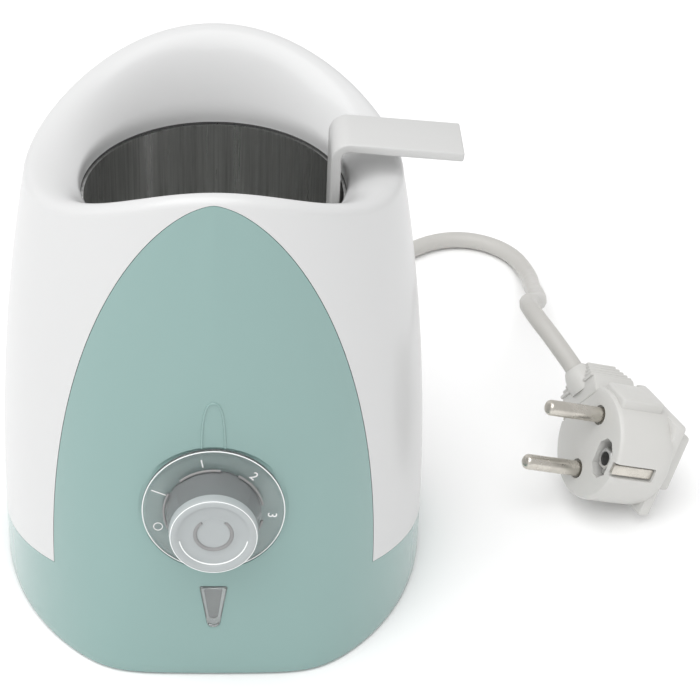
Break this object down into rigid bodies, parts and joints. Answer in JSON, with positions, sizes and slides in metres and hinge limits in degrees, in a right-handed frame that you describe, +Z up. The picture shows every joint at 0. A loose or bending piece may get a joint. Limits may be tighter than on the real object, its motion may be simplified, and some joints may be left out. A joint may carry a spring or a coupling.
{
  "type": "bottle warmer",
  "caption": "Electric bottle and food-jar warmer: moulded housing with a saddle rim round a metal well, front thermostat knob, lift-out jar lifter and mains lead.",
  "frame": {"origin": "where the well's vertical axis meets the table, at the middle of the base plate's underside pad", "axes": "+Z up along the well's axis, -Y out of the control panel, +X to the right of a person facing the panel, where the lifter's handle is"},
  "size_m": [0.2073, 0.2435, 0.1512],
  "materials": {
    "white_plastic": "smooth glossy white",
    "green_plastic": "smooth glossy sage green",
    "grey_plastic": "satin grey",
    "clear_plastic": "clear, lightly frosted",
    "rubber": "matte",
    "grey_rubber": "matte grey",
    "cord_sheath": "smooth light grey",
    "plug_plastic": "smooth pale grey",
    "wire_insulation": "plain",
    "steel": "vertically brushed",
    "aluminium": "cast, satin",
    "element_metal": "heat-darkened",
    "nickel": "polished nickel",
    "glass": "clear"
  },
  "bodies": {
    "housing": {"outer_shell": "white_plastic", "front_housing": "green_plastic", "base_plate": "grey_plastic", "rubber_foot_1": "rubber", "rubber_foot_2": "rubber", "rubber_foot_3": "rubber", "rubber_foot_4": "rubber", "base_screw_1": "steel", "base_screw_2": "steel", "base_screw_3": "steel", "base_screw_4": "steel", "heating_well": "steel", "well_gasket": "rubber", "heater_plate": "aluminium", "heating_element": "element_metal", "heater_clamp": "steel", "heater_nut": "steel", "thermal_fuse": "aluminium", "fuse_clip": "steel", "temperature_sensor": "aluminium", "thermostat_body": "grey_plastic", "thermostat_nut": "steel", "indicator_lens": "clear_plastic", "lamp_holder": "white_plastic", "neon_lamp": "glass", "terminal_block": "white_plastic", "live_lead": "wire_insulation", "neutral_lead": "wire_insulation", "earth_lead": "wire_insulation", "lamp_lead": "wire_insulation", "cord_tail": "cord_sheath", "cord_clamp": "white_plastic", "cord_bush": "grey_rubber", "cord_lead_in": "cord_sheath", "cord_coil": "cord_sheath", "cord_tie": "wire_insulation", "cord_run": "cord_sheath", "plug_boot": "plug_plastic", "plug_body": "plug_plastic", "plug_grip": "plug_plastic", "plug_pin_1": "nickel", "plug_pin_2": "nickel", "plug_earth_socket": "steel", "plug_earth_clip_1": "nickel", "plug_earth_clip_2": "nickel"},
    "knob": {"temperature_knob": "clear_plastic", "knob_hub": "grey_plastic", "thermostat_spindle": "steel"},
    "lifter": {"lift_handle": "white_plastic", "lift_platform": "white_plastic"}
  },
  "joints": [
    {"name": "knob_turn", "type": "hinge", "parent": "housing", "child": "knob", "pos_m": [0, -0.05439, 0.0573], "axis": [0, -0.9962, 0.0872], "range_deg": [-270, 0]},
    {"name": "lifter_lift", "type": "slide", "parent": "housing", "child": "lifter", "axis": [0, 0, 1], "range_m": [0, 0.105]}
  ]
}
